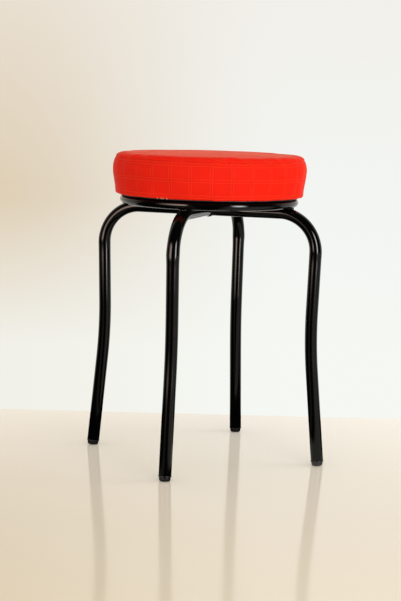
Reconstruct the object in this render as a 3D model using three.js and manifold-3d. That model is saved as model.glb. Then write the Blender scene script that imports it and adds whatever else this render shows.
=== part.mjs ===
// A round upholstered stool on four bent steel tube legs.
//
// Millimetres, +Z up. The floor is z = 0 and the stool's centre line is the Z axis.
// One tube is an inverted U that makes the left and right legs and lies along X.
// The front leg (-Y) and the back leg (+Y) are half tubes whose upper ends are
// shaped to the sides of that tube and welded there. A round tube ring lies on all
// four shoulders. The padded seat lies on the ring and is screwed to four lugs.

import * as THREE from 'three';
import { mergeVertices } from 'three/addons/utils/BufferGeometryUtils.js';
import Module from 'manifold-3d';

const wasm = await Module();
wasm.setup();

const degree = Math.PI / 180;
const quarterTurn = Math.PI / 2;
const fullTurn = 2 * Math.PI;

// Clearance between faces that touch on the real stool, and the overrun of a cut.
const contactGap = 0.3;
const cutOverrun = 1;

// Leg tubes.
const legTubeDiameter = 20;
const legTubeWall = 1.5;
const crossRailHeight = 408.9;
const topBendRadius = 61.9;
const upperLegLeanAngle = 1.61 * degree;
const upperLegLength = 94.5;
const kneeBendRadius = 798;
const footSplayAngle = 5.42 * degree;

// Foot plugs: a rim under the end of the tube, a foot below it with a round edge that
// is worn flat where it meets the floor, and a finned stem inside the tube.
const plugRimDiameter = 20.8;
const plugRimThickness = 2;
const plugFootDiameter = 18.4;
const plugHeadLength = 8.5;
const plugEdgeRadius = 3.4;
const plugWornDepth = 0.5;
const plugStemLength = 20;
const plugFinCount = 3;
const plugFinThickness = 1.6;
const plugFinDepth = 1.8;

// Seat ring, bent from a thinner round tube, with a drain hole. Its tube's middle lies
// this far out past the start of the legs' top bends.
const ringOuterDiameter = 290.5;
const ringTubeDiameter = 14;
const ringTubeWall = 1.5;
const ringPastBend = 19.35;
const ringDrainDiameter = 4;
const ringDrainAngle = 22.5 * degree;

// Welds.
const centreWeldSize = 2;
const ringWeldWidth = 6.5;
const ringWeldHeight = 3.2;
const lugWeldRadius = 3.6;

// Lugs that stand in from the ring, midway between the legs.
const lugCount = 4;
const lugStartAngle = 45 * degree;
const lugWidth = 22;
const lugThickness = 2.5;
const lugScrewInset = 14.4;
const lugHoleDiameter = 5.6;

// Screws and washers.
const washerDiameter = 12;
const washerThickness = 1.2;
const screwLength = 16;
const screwShankDiameter = 4.4;
const screwHeadDiameter = 8.6;
const screwHeadHeight = 2.6;
const screwHeadFlatShare = 0.7;
const screwHeadRimShare = 0.6;
const screwTipLength = 3.5;
const screwRecessWidth = 1.3;
const screwRecessSpan = 5;
const screwRecessDepth = 1.5;
const pilotHoleExtraDepth = 1;

// Seat: a thin base panel as wide as the ring, a plywood board, a foam pad and a sewn
// cover in two panels. The cushion stands out past the ring, and the cover's hem reaches
// in between the panel and the board, past the ring's inside.
const basePanelThickness = 1.6;
const seatOverhang = 7.75;
const boardThickness = 12;
const boardEdgeEase = 3;
const coverThickness = 1.2;
const hemPastRing = 3.25;

// The outside of the cushion. A bulge is how far it stands out past its underside's
// edge, at a height above the underside.
const cushionCornerRadius = 4;
const cushionLowerBulge = 1.4;
const cushionLowerHeight = 16.1;
const cushionWideBulge = 4.2;
const cushionWideHeight = 44.6;
const cushionSeamBulge = 0.2;
const cushionSeamHeight = 58.5;
const cushionShoulderReach = 14.5;
const cushionShoulderRise = 7.9;
const cushionCrownRise = 3.2;

// How finely round shapes are divided.
const legTubeSides = 16;
const topBendSteps = 8;
const kneeBendSteps = 3;
const ringSides = 12;
const ringBoreSides = 8;
const ringSegments = 40;
const seatSegments = 40;
const smallRoundSides = 12;
const beadRows = 8;
const plugEdgeSteps = 3;
const cornerSteps = 2;
const sideSteps = 8;
const shoulderSteps = 5;
const crownSteps = 4;

// Sizes that follow from these.
const legTubeRadius = legTubeDiameter / 2;
const legBoreRadius = legTubeRadius - legTubeWall;
const plugFlatRadius = plugFootDiameter / 2 - plugEdgeRadius;
const ringTubeRadius = ringTubeDiameter / 2;
const ringRadius = ringOuterDiameter / 2 - ringTubeRadius;

// The rails reach from the centre line to the top bends. The ring lies on the outer curve
// of the bends.
const crossRailReach = ringRadius - ringPastBend;
const topBendCentreHeight = crossRailHeight - topBendRadius;
const bendToRing = topBendRadius + legTubeRadius + contactGap + ringTubeRadius;
const ringHeight = topBendCentreHeight + Math.sqrt(bendToRing ** 2 - ringPastBend ** 2);
const ringTop = ringHeight + ringTubeRadius;

const ringInnerRadius = ringRadius - ringTubeRadius;

// The base panel lies on the ring, and the lugs are flush with the ring's top.
const basePanelRadius = ringOuterDiameter / 2;
const basePanelUnderside = ringTop + contactGap;
const basePanelTop = basePanelUnderside + basePanelThickness;
const lugUnderside = ringTop - lugThickness;
const cushionUnderside = basePanelTop + contactGap;
const cushionBottomRadius = ringOuterDiameter / 2 + seatOverhang;
const cushionSeamRadius = cushionBottomRadius + cushionSeamBulge;
const hemInnerRadius = ringInnerRadius - hemPastRing;
const boardUnderside = cushionUnderside + coverThickness + contactGap;
const boardTop = boardUnderside + boardThickness;
const boardRadius = cushionBottomRadius - coverThickness - contactGap;
const screwCircleRadius = ringInnerRadius - lugScrewInset;
const washerTop = lugUnderside - contactGap;
const screwSeat = washerTop - washerThickness - contactGap;
const screwEnd = screwSeat + screwLength;

// Finishes.
const blackEnamel = { color: 0x0c0c0d, roughness: 0.22, metalness: 0 };
const blackPlastic = { color: 0x141415, roughness: 0.45, metalness: 0 };
const zincPlate = { color: 0xb9bcc0, roughness: 0.35, metalness: 1 };
const blackHardboard = { color: 0x161514, roughness: 0.6, metalness: 0 };
const birchPlywood = { color: 0xc9a878, roughness: 0.7, metalness: 0 };
const foam = { color: 0xe8dcae, roughness: 0.95, metalness: 0 };
const redCloth = { color: 0xe2260f, roughness: 0.8, metalness: 0 };

// A route in the XZ plane, made of straight runs and round bends. Its stations lie
// at the ends of the runs and evenly along the bends, so a tube swept along it bends
// only where the real one does.
class BentRoute extends THREE.Curve {
  constructor(stations) {
    super();
    this.stations = stations;
    this.steps = stations.length - 1;
  }

  between(u, key) {
    const place = u * this.steps;
    const index = Math.min(Math.floor(place), this.steps - 1);
    const from = this.stations[index][key];
    const to = this.stations[index + 1][key];
    return from.clone().lerp(to, place - index);
  }

  getPointAt(u, target = new THREE.Vector3()) {
    return target.copy(this.between(u, 'point'));
  }

  getTangentAt(u, target = new THREE.Vector3()) {
    return target.copy(this.between(u, 'tangent')).normalize();
  }
}

// The unit direction at a heading in the XZ plane: 0 is outwards along +X, and a
// quarter turn is up.
function directionAt(heading) {
  return new THREE.Vector3(Math.cos(heading), 0, Math.sin(heading));
}

function startRoute(reach) {
  const point = new THREE.Vector3(reach, 0, crossRailHeight);
  return [{ point, tangent: directionAt(0), heading: 0 }];
}

// Adds a straight run to a list of stations.
function addRun(stations, length) {
  const { point, tangent, heading } = stations.at(-1);
  stations.push({ point: point.clone().addScaledVector(tangent, length), tangent, heading });
}

// Adds a round bend that turns by an angle, positive to the left.
function addBend(stations, radius, angle, steps) {
  const start = stations.at(-1);
  const side = Math.sign(angle) * quarterTurn;
  const centre = start.point.clone().addScaledVector(directionAt(start.heading + side), radius);
  for (let step = 1; step <= steps; step += 1) {
    const heading = start.heading + angle * step / steps;
    const point = centre.clone().addScaledVector(directionAt(heading - side), radius);
    stations.push({ point, tangent: directionAt(heading), heading });
  }
}

// The height at which a leg's tube ends, so that the inner edge of its plug, less what
// is worn flat, just meets the floor.
function tubeEndHeight() {
  const toEdgeCentre = contactGap + plugHeadLength - plugEdgeRadius;
  const alongDrop = toEdgeCentre * Math.cos(footSplayAngle);
  const acrossDrop = plugFlatRadius * Math.sin(footSplayAngle);
  return alongDrop + acrossDrop + plugEdgeRadius - plugWornDepth;
}

// One leg, from the centre line to the end of its tube.
function legStations() {
  const stations = startRoute(0);
  addRun(stations, crossRailReach);
  addBend(stations, topBendRadius, -quarterTurn - upperLegLeanAngle, topBendSteps);
  addRun(stations, upperLegLength);
  addBend(stations, kneeBendRadius, upperLegLeanAngle + footSplayAngle, kneeBendSteps);
  addRun(stations, (stations.at(-1).point.z - tubeEndHeight()) / Math.cos(footSplayAngle));
  return stations;
}

// Both legs of the inverted U, from the left foot to the right foot.
function doubleLegStations() {
  const right = legStations().slice(1);
  const left = right.map(({ point, tangent }) => ({
    point: new THREE.Vector3(-point.x, point.y, point.z),
    tangent: new THREE.Vector3(tangent.x, tangent.y, -tangent.z),
  }));
  return [...left.reverse(), ...right];
}

// A round bar swept along stations, or a tube if it has a bore.
function sweep(stations, radius, boreRadius = 0) {
  const section = new THREE.Shape();
  section.absarc(0, 0, radius, 0, fullTurn, false);
  if (boreRadius > 0) {
    const bore = new THREE.Path();
    bore.absarc(0, 0, boreRadius, 0, fullTurn, true);
    section.holes.push(bore);
  }
  const route = new BentRoute(stations);
  return new THREE.ExtrudeGeometry(section, {
    steps: route.steps,
    curveSegments: legTubeSides / 2,
    extrudePath: route,
  });
}

// A profile of [radius, height] pairs turned about the Z axis.
function turned(profile, segments) {
  const points = profile.map(([radius, height]) => new THREE.Vector2(radius, height));
  return new THREE.LatheGeometry(points, segments).rotateX(quarterTurn);
}

// A round bar along Z from one height to another.
function uprightBar(diameter, bottom, top, sides) {
  return new THREE.CylinderGeometry(diameter / 2, diameter / 2, top - bottom, sides)
    .rotateX(quarterTurn)
    .translate(0, 0, (bottom + top) / 2);
}

function toSolid(geometry) {
  const bare = geometry.clone();
  bare.deleteAttribute('normal');
  bare.deleteAttribute('uv');
  const merged = mergeVertices(bare);
  return new wasm.Manifold(new wasm.Mesh({
    numProp: 3,
    vertProperties: new Float32Array(merged.attributes.position.array),
    triVerts: new Uint32Array(merged.index.array),
  }));
}

function toGeometry(solid) {
  const mesh = solid.getMesh();
  const geometry = new THREE.BufferGeometry();
  geometry.setAttribute('position', new THREE.BufferAttribute(mesh.vertProperties, 3));
  geometry.setIndex(new THREE.BufferAttribute(mesh.triVerts, 1));
  geometry.computeVertexNormals();
  return geometry;
}

// A geometry less others.
function cut(geometry, ...tools) {
  let solid = toSolid(geometry);
  for (const tool of tools) {
    solid = solid.subtract(toSolid(tool));
  }
  return toGeometry(solid);
}

// What two geometries share.
function shared(first, second) {
  return toGeometry(toSolid(first).intersect(toSolid(second)));
}

function legTube(stations) {
  return sweep(stations, legTubeRadius, legBoreRadius);
}

// In the frame of a front or back leg, the left-right tube crosses along Y. This is
// that stretch of it as a bar, grown by a margin.
function crossingBar(margin) {
  const radius = legTubeRadius + margin;
  const length = 2 * (legTubeRadius + centreWeldSize + cutOverrun);
  return new THREE.CylinderGeometry(radius, radius, length, legTubeSides)
    .translate(0, 0, crossRailHeight);
}

// The level part of a front or back leg as a bar, grown by a margin.
function railBar(margin) {
  const stations = startRoute(contactGap / 2);
  addRun(stations, crossRailReach);
  return sweep(stations, legTubeRadius + margin);
}

function copedLegTube() {
  return cut(legTube(legStations()), crossingBar(contactGap));
}

// The fillet of weld round the upper end of a front or back leg.
function centreWeld() {
  const corner = shared(crossingBar(centreWeldSize), railBar(centreWeldSize));
  return cut(corner, crossingBar(contactGap), railBar(contactGap));
}

// A solid ring whose surface stands off the real ring's by a margin.
function solidRing(margin, sides = ringSides) {
  return new THREE.TorusGeometry(ringRadius, ringTubeRadius + margin, sides, ringSegments)
    .translate(0, 0, ringHeight);
}

function seatRing() {
  const drainBottom = ringHeight - ringTubeRadius - cutOverrun;
  const drain = uprightBar(ringDrainDiameter, drainBottom, ringHeight, smallRoundSides)
    .translate(ringRadius, 0, 0)
    .rotateZ(ringDrainAngle);
  return cut(solidRing(0), solidRing(-ringTubeWall, ringBoreSides), drain);
}

// The weld where the ring lies on a leg's shoulder: a flattened bead about the point
// where they touch, less both of them.
function ringWeld() {
  const slope = Math.atan2(ringPastBend, ringHeight - topBendCentreHeight);
  const bead = new THREE.SphereGeometry(1, smallRoundSides, beadRows)
    .scale(ringWeldWidth, ringWeldWidth, ringWeldHeight)
    .translate(0, 0, -ringTubeRadius)
    .rotateY(slope)
    .translate(ringRadius, 0, ringHeight);
  const shoulder = legStations().slice(0, topBendSteps + 2);
  return cut(bead, solidRing(contactGap), sweep(shoulder, legTubeRadius + contactGap));
}

// A flat tab with a round inner end, shaped to the ring at its outer end.
function seatLug() {
  const halfWidth = lugWidth / 2;
  const outline = new THREE.Shape();
  outline.moveTo(ringRadius, -halfWidth);
  outline.lineTo(ringRadius, halfWidth);
  outline.lineTo(screwCircleRadius, halfWidth);
  outline.absarc(screwCircleRadius, 0, halfWidth, quarterTurn, 3 * quarterTurn, false);
  const hole = new THREE.Path();
  hole.absarc(screwCircleRadius, 0, lugHoleDiameter / 2, 0, fullTurn, true);
  outline.holes.push(hole);
  const plate = new THREE.ExtrudeGeometry(outline, {
    depth: lugThickness,
    bevelEnabled: false,
    curveSegments: smallRoundSides / 2,
  }).translate(0, 0, lugUnderside);
  return cut(plate, solidRing(contactGap));
}

// The bead under a lug, in the corner between the lug and the ring.
function lugWeld() {
  const rise = lugUnderside - ringHeight;
  const cornerRadius = ringRadius - Math.sqrt(ringTubeRadius ** 2 - rise ** 2);
  const length = lugWidth - 2 * lugWeldRadius;
  const bead = new THREE.CylinderGeometry(lugWeldRadius, lugWeldRadius, length, smallRoundSides)
    .translate(cornerRadius, 0, lugUnderside);
  const plateHeight = lugWeldRadius + cutOverrun;
  const plate = new THREE.BoxGeometry(2 * lugWidth, 2 * lugWidth, plateHeight)
    .translate(cornerRadius, 0, lugUnderside - contactGap + plateHeight / 2);
  return cut(bead, solidRing(contactGap), plate);
}

// The profile of a plug under a tube that ends at height 0: the foot, the rim and the
// stem with its fins.
function plugProfile() {
  const headTop = -contactGap;
  const headEnd = headTop - plugHeadLength;
  const profile = [[0, headEnd]];
  for (let step = 0; step <= plugEdgeSteps; step += 1) {
    const angle = quarterTurn * step / plugEdgeSteps;
    profile.push([
      plugFlatRadius + plugEdgeRadius * Math.sin(angle),
      headEnd + plugEdgeRadius * (1 - Math.cos(angle)),
    ]);
  }
  const rimRadius = plugRimDiameter / 2;
  profile.push([plugFootDiameter / 2, headTop - plugRimThickness]);
  profile.push([rimRadius, headTop - plugRimThickness], [rimRadius, headTop]);
  const finRadius = legBoreRadius - contactGap;
  const coreRadius = finRadius - plugFinDepth;
  for (let fin = 1; fin <= plugFinCount; fin += 1) {
    const finTop = headTop + fin * plugStemLength / plugFinCount;
    const finBottom = finTop - plugFinThickness;
    const coreStart = headTop + (fin - 1) * plugStemLength / plugFinCount;
    profile.push([coreRadius, coreStart], [coreRadius, finBottom]);
    profile.push([finRadius, finBottom], [finRadius, finTop]);
  }
  profile.push([0, headTop + plugStemLength]);
  return profile;
}

// A plug in the frame of its leg, cut level with the floor.
function footPlug() {
  const tubeEnd = legStations().at(-1).point;
  const plug = turned(plugProfile(), legTubeSides)
    .rotateY(-footSplayAngle)
    .translate(tubeEnd.x, 0, tubeEnd.z);
  const floor = new THREE.BoxGeometry(2 * legTubeDiameter, 2 * legTubeDiameter, legTubeDiameter)
    .translate(tubeEnd.x, 0, -legTubeRadius);
  return cut(plug, floor);
}

function washer() {
  const inner = lugHoleDiameter / 2;
  const outer = washerDiameter / 2;
  const bottom = washerTop - washerThickness;
  const corners = [[inner, bottom], [outer, bottom], [outer, washerTop], [inner, washerTop]];
  return turned([...corners, corners[0]], smallRoundSides).translate(screwCircleRadius, 0, 0);
}

function lugScrew() {
  const head = screwHeadDiameter / 2;
  const shank = screwShankDiameter / 2;
  const headBottom = screwSeat - screwHeadHeight;
  const screw = turned([
    [0, headBottom],
    [head * screwHeadFlatShare, headBottom],
    [head, screwSeat - screwHeadHeight * screwHeadRimShare],
    [head, screwSeat],
    [shank, screwSeat],
    [shank, screwEnd - screwTipLength],
    [0, screwEnd],
  ], smallRoundSides);
  const slot = new THREE.BoxGeometry(screwRecessSpan, screwRecessWidth, 2 * screwRecessDepth)
    .translate(0, 0, headBottom);
  const crossSlot = slot.clone().rotateZ(quarterTurn);
  return cut(screw, slot, crossSlot).translate(screwCircleRadius, 0, 0);
}

function lugAngle(index) {
  return lugStartAngle + index * fullTurn / lugCount;
}

// Upright holes at the screws.
function screwHoles(diameter, bottom, top) {
  const holes = [];
  for (let index = 0; index < lugCount; index += 1) {
    const hole = uprightBar(diameter, bottom, top, smallRoundSides);
    holes.push(hole.translate(screwCircleRadius, 0, 0).rotateZ(lugAngle(index)));
  }
  return holes;
}

// A flat disc under the cushion, drilled for the screws.
function basePanel() {
  const panel = turned([
    [0, basePanelUnderside],
    [basePanelRadius, basePanelUnderside],
    [basePanelRadius, basePanelTop],
    [0, basePanelTop],
  ], seatSegments);
  const holesBottom = basePanelUnderside - cutOverrun;
  return cut(panel, ...screwHoles(lugHoleDiameter, holesBottom, basePanelTop + cutOverrun));
}

function seatBoard() {
  const board = turned([
    [0, boardUnderside],
    [boardRadius - boardEdgeEase, boardUnderside],
    [boardRadius, boardUnderside + boardEdgeEase],
    [boardRadius, boardTop - boardEdgeEase],
    [boardRadius - boardEdgeEase, boardTop],
    [0, boardTop],
  ], seatSegments);
  const holeDiameter = screwShankDiameter + 2 * contactGap;
  const holeTop = screwEnd + pilotHoleExtraDepth;
  return cut(board, ...screwHoles(holeDiameter, boardUnderside - cutOverrun, holeTop));
}

// The outside of the side panel: from the edge of its hem under the seat, round the
// bottom corner and up to the seam.
function sideOutline() {
  const outline = [[hemInnerRadius, cushionUnderside]];
  const cornerCentre = cushionBottomRadius - cushionCornerRadius;
  for (let step = 0; step <= cornerSteps; step += 1) {
    const angle = quarterTurn * step / cornerSteps;
    outline.push([
      cornerCentre + cushionCornerRadius * Math.sin(angle),
      cushionUnderside + cushionCornerRadius * (1 - Math.cos(angle)),
    ]);
  }
  const side = new THREE.SplineCurve([
    new THREE.Vector2(cushionBottomRadius, cushionCornerRadius),
    new THREE.Vector2(cushionBottomRadius + cushionLowerBulge, cushionLowerHeight),
    new THREE.Vector2(cushionBottomRadius + cushionWideBulge, cushionWideHeight),
    new THREE.Vector2(cushionSeamRadius, cushionSeamHeight),
  ]);
  for (const point of side.getPoints(sideSteps).slice(1)) {
    outline.push([point.x, cushionUnderside + point.y]);
  }
  return outline;
}

// The outside of the top panel: from the seam over the shoulder to the crown.
function topOutline() {
  const panelEdge = cushionUnderside + cushionSeamHeight + contactGap;
  const crownRadius = cushionSeamRadius - cushionShoulderReach;
  const outline = [];
  for (let step = 0; step < shoulderSteps; step += 1) {
    const angle = quarterTurn * step / shoulderSteps;
    outline.push([
      crownRadius + cushionShoulderReach * Math.cos(angle),
      panelEdge + cushionShoulderRise * Math.sin(angle),
    ]);
  }
  for (let step = 0; step <= crownSteps; step += 1) {
    const share = 1 - step / crownSteps;
    const rise = cushionShoulderRise + cushionCrownRise * (1 - share ** 2);
    outline.push([crownRadius * share, panelEdge + rise]);
  }
  return outline;
}

// An outline moved inwards, each point square to the outline there.
function inset(outline, distance) {
  return outline.map(([radius, height], index) => {
    const before = outline[Math.max(index - 1, 0)];
    const after = outline[Math.min(index + 1, outline.length - 1)];
    const alongRadius = after[0] - before[0];
    const alongHeight = after[1] - before[1];
    const length = Math.hypot(alongRadius, alongHeight);
    const insetRadius = radius - distance * alongHeight / length;
    return [Math.max(insetRadius, 0), height + distance * alongRadius / length];
  });
}

function coverSidePanel() {
  const outside = sideOutline();
  const inside = inset(outside, coverThickness).reverse();
  return turned([...outside, ...inside, outside[0]], seatSegments);
}

function coverTopPanel() {
  const outside = topOutline();
  const inside = inset(outside, coverThickness).reverse();
  return turned([...inside, ...outside], seatSegments);
}

// The pad fills the cover above the board.
function foamPad() {
  const bottom = boardTop + contactGap;
  const depth = coverThickness + contactGap;
  const lining = [...inset(sideOutline(), depth), ...inset(topOutline(), depth)];
  const first = lining.findIndex(([, height]) => height > bottom);
  const [radiusBelow, heightBelow] = lining[first - 1];
  const [radiusAbove, heightAbove] = lining[first];
  const share = (bottom - heightBelow) / (heightAbove - heightBelow);
  const bottomRadius = radiusBelow + share * (radiusAbove - radiusBelow);
  return turned([[0, bottom], [bottomRadius, bottom], ...lining.slice(first)], seatSegments);
}

function addPiece(group, name, geometry, finish) {
  const mesh = new THREE.Mesh(geometry, new THREE.MeshStandardMaterial(finish));
  mesh.name = name;
  group.add(mesh);
}

// A group turned about the centre line.
function addTurnedGroup(parent, angle) {
  const group = new THREE.Group();
  group.rotation.z = angle;
  parent.add(group);
  return group;
}

const stool = new THREE.Group();

addPiece(stool, 'leg_tube_left_right', legTube(doubleLegStations()), blackEnamel);

const legTurns = { right: 0, back: 1, left: 2, front: 3 };
const halfTubeSides = ['front', 'back'];

for (const [side, turns] of Object.entries(legTurns)) {
  const leg = addTurnedGroup(stool, turns * quarterTurn);
  addPiece(leg, `foot_plug_${side}`, footPlug(), blackPlastic);
  addPiece(leg, `ring_weld_${side}`, ringWeld(), blackEnamel);
  if (halfTubeSides.includes(side)) {
    addPiece(leg, `leg_tube_${side}`, copedLegTube(), blackEnamel);
    addPiece(leg, `centre_weld_${side}`, centreWeld(), blackEnamel);
  }
}

addPiece(stool, 'seat_ring', seatRing(), blackEnamel);

for (let index = 0; index < lugCount; index += 1) {
  const place = addTurnedGroup(stool, lugAngle(index));
  const number = index + 1;
  addPiece(place, `seat_lug_${number}`, seatLug(), blackEnamel);
  addPiece(place, `lug_weld_${number}`, lugWeld(), blackEnamel);
  addPiece(place, `lug_washer_${number}`, washer(), zincPlate);
  addPiece(place, `lug_screw_${number}`, lugScrew(), zincPlate);
}

addPiece(stool, 'base_panel', basePanel(), blackHardboard);
addPiece(stool, 'seat_board', seatBoard(), birchPlywood);
addPiece(stool, 'foam_pad', foamPad(), foam);
addPiece(stool, 'cover_side_panel', coverSidePanel(), redCloth);
addPiece(stool, 'cover_top_panel', coverTopPanel(), redCloth);

export default stool;
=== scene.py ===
# A round upholstered stool: a padded seat in red checked cloth on a tube ring, carried
# by four bent legs of black enamelled steel tube. Metres, +Z up, floor at z = 0.

import functools
import math

import bmesh
import bpy
import numpy as np
from mathutils import Matrix, Vector


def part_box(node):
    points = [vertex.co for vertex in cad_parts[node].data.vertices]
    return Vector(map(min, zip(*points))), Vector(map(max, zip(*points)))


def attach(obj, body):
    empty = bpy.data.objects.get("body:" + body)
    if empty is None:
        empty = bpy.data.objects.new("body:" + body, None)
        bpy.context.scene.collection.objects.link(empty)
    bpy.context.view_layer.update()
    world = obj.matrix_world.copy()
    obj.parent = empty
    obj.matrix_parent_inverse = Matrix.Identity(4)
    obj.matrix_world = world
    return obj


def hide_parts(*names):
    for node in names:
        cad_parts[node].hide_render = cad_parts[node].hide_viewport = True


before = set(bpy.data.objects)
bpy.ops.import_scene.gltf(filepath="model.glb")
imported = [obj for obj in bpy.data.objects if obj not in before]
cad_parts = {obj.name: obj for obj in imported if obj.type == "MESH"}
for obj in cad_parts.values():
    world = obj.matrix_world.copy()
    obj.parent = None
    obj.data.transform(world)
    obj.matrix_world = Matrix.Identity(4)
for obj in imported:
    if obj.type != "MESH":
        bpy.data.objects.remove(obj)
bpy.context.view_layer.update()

mm = 0.001
degree = math.pi / 180
quarterTurn = math.pi / 2
fullTurn = 2 * math.pi
legTurns = {"right": 0, "back": 1, "left": 2, "front": 3}  # quarter turns from +X
randomNumbers = np.random.default_rng(7)

print("frame loaded")


# Materials

def toLinear(hexColour):
    # sRGB hex to the linear colour that a shader takes
    shares = [int(hexColour[at:at + 2], 16) / 255 for at in (1, 3, 5)]
    return [s / 12.92 if s < 0.0405 else ((s + 0.055) / 1.055) ** 2.4 for s in shares] + [1]


def setInputs(node, inputs):
    # inputs by number, in a list, or by name or number, in a dictionary: each is a value, a
    # hex colour or another node's output
    for name, value in inputs.items() if isinstance(inputs, dict) else enumerate(inputs):
        if isinstance(value, bpy.types.NodeSocket):
            node.id_data.links.new(value, node.inputs[name])
        else:
            node.inputs[name].default_value = toLinear(value) if isinstance(value, str) else value


def addNode(tree, kind, inputs=(), output=0, **settings):
    # one node with its settings and links; returns one of its outputs
    node = tree.nodes.new("ShaderNode" + kind)
    for name, value in settings.items():
        setattr(node, name, value)
    setInputs(node, inputs)
    return node.outputs[output]


def startMaterial(name, inputs):
    # a Principled material, the function that adds its nodes, its shader, and the place on
    # the object as an output
    material = bpy.data.materials.new(name)
    material.use_nodes = True
    add = functools.partial(addNode, material.node_tree)
    shader = material.node_tree.nodes["Principled BSDF"]
    setInputs(shader, inputs)
    return material, add, shader, add("TexCoord", output="Object")


# A noise's scale is one over the width of its blotches in metres. A MapRange takes the value,
# the range that it comes from and the range that it goes to. A Mix's colours are 6 and 7.
mixedColour = {"output": 2, "data_type": "RGBA"}
smooth = {"interpolation_type": "SMOOTHSTEP"}


def makeBlackEnamel():
    # Stoved gloss enamel on steel: deep black with a clear gloss, a faint orange peel
    # some 6 mm across, and a thin film of dust and handling marks that dulls it in places.
    material, add, shader, place = startMaterial("blackStovedEnamel", {
        "Base Color": "#030303", "IOR": 1.5, "Specular IOR Level": 0.26})
    peel = add("TexNoise", {"Vector": place, "Scale": 1 / (6 * mm), "Detail": 1})
    film = add("TexNoise", {"Vector": place, "Scale": 1 / (45 * mm), "Detail": 4, "Roughness": 0.6})
    dust = add("MapRange", [film, 0.5, 0.8, 0.0, 0.3])
    setInputs(shader, {
        "Base Color": add("Mix", {0: dust, 6: "#030303", 7: "#100e0c"}, **mixedColour),
        "Roughness": add("MapRange", [film, 0.35, 0.75, 0.06, 0.13]),
        "Normal": add("Bump", {"Height": peel, "Distance": 0.008 * mm}),
    })
    return material


def makePlugPlastic():
    # Injection-moulded low-density polyethylene: satin black, finely grained, greyed
    # with scuffs and grit in the few millimetres above the floor.
    material, add, shader, place = startMaterial("mouldedPolyethylene", {
        "Base Color": "#131314", "IOR": 1.51})
    height = add("SeparateXYZ", [place], "Z")
    nearFloor = add("MapRange", [height, 0.5 * mm, 4 * mm, 1.0, 0.0])
    grains = add("TexNoise", {"Vector": place, "Scale": 1 / (0.8 * mm), "Detail": 4, "Roughness": 0.7})
    grit = add("MapRange", [grains, 0.45, 0.7, 0.0, 1.0])
    scuff = add("Math", [nearFloor, grit], operation="MULTIPLY")
    skin = add("TexNoise", {"Vector": place, "Scale": 1 / (0.5 * mm), "Detail": 3})
    setInputs(shader, {
        "Base Color": add("Mix", {0: scuff, 6: "#121213", 7: "#4a4640"}, **mixedColour),
        "Roughness": add("MapRange", [scuff, 0.0, 1.0, 0.34, 0.75]),
        "Normal": add("Bump", {"Height": skin, "Distance": 0.03 * mm}),
    })
    return material


def makeZincPlate():
    # Bright zinc plate on steel: a cool grey metal, slightly blotched where it passivated.
    material, add, shader, place = startMaterial("brightZincPlate", {
        "Base Color": "#b9bec4", "Metallic": 1.0})
    blotch = add("TexNoise", {"Vector": place, "Scale": 1 / (3 * mm), "Detail": 5, "Roughness": 0.6})
    setInputs(shader, {
        "Base Color": add("Mix", {0: blotch, 6: "#a9b0b8", 7: "#cfcdc4"}, **mixedColour),
        "Roughness": add("MapRange", [blotch, 0.3, 0.7, 0.24, 0.42]),
    })
    return material


def makeBirchPlywood():
    # Rotary-cut birch plywood, sanded and raw: pale tan with long soft grain along X on
    # the faces, and plies 1.4 mm thick, by turns light and dark, on the cut edge.
    material, add, shader, place = startMaterial("rawBirchPlywood", {
        "Base Color": "#d0b082", "Roughness": 0.68, "IOR": 1.5})
    drawnOut = add("Mapping", {"Vector": place, "Scale": (0.06, 1.0, 1.0)})
    grain = add("TexNoise", {"Vector": drawnOut, "Scale": 1 / (3 * mm), "Detail": 6, "Roughness": 0.62})
    broad = add("TexNoise", {"Vector": drawnOut, "Scale": 1 / (14 * mm), "Detail": 3})
    figure = add("MapRange", [grain, 0.35, 0.7, 0.0, 1.0])
    shade = add("MapRange", [broad, 0.4, 0.7, 0.0, 0.5])
    face = add("Mix", {0: figure, 6: "#dcc095", 7: "#b98f5c"}, **mixedColour)
    face = add("Mix", {0: shade, 6: face, 7: "#c9a06d"}, **mixedColour)
    ply = add("Math", [add("SeparateXYZ", [place], "Z"), 1.4 * mm], operation="PINGPONG")
    isDarkPly = add("MapRange", [ply, 0.6 * mm, 0.8 * mm, 0.0, 1.0])
    edge = add("Mix", {0: isDarkPly, 6: "#d8bb8c", 7: "#8d683f"}, **mixedColour)
    facing = add("SeparateXYZ", [add("NewGeometry", output="Normal")], "Z")
    isFace = add("MapRange", [add("Math", [facing], operation="ABSOLUTE"), 0.5, 0.8, 0.0, 1.0])
    setInputs(shader, {
        "Base Color": add("Mix", {0: isFace, 6: edge, 7: face}, **mixedColour),
        "Normal": add("Bump", {"Height": grain, "Distance": 0.08 * mm}),
    })
    return material


def makeSeatFoam():
    # Cut polyurethane foam: cream, matt, full of open cells about 0.9 mm across.
    material, add, shader, place = startMaterial("creamSeatFoam", {
        "Base Color": "#e9dcae", "Roughness": 0.95, "IOR": 1.3})
    cells = add("TexVoronoi", {"Vector": place, "Scale": 1 / (0.9 * mm)})
    setInputs(shader, {
        "Base Color": add("Mix", {0: cells, 6: "#cdb982", 7: "#efe4bb"}, **mixedColour),
        "Normal": add("Bump", {"Height": cells, "Distance": 0.5 * mm}),
    })
    return material


cordPairsRound = 30
widestRadius = 157.2 * mm          # where the seat's side bulges most

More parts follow.
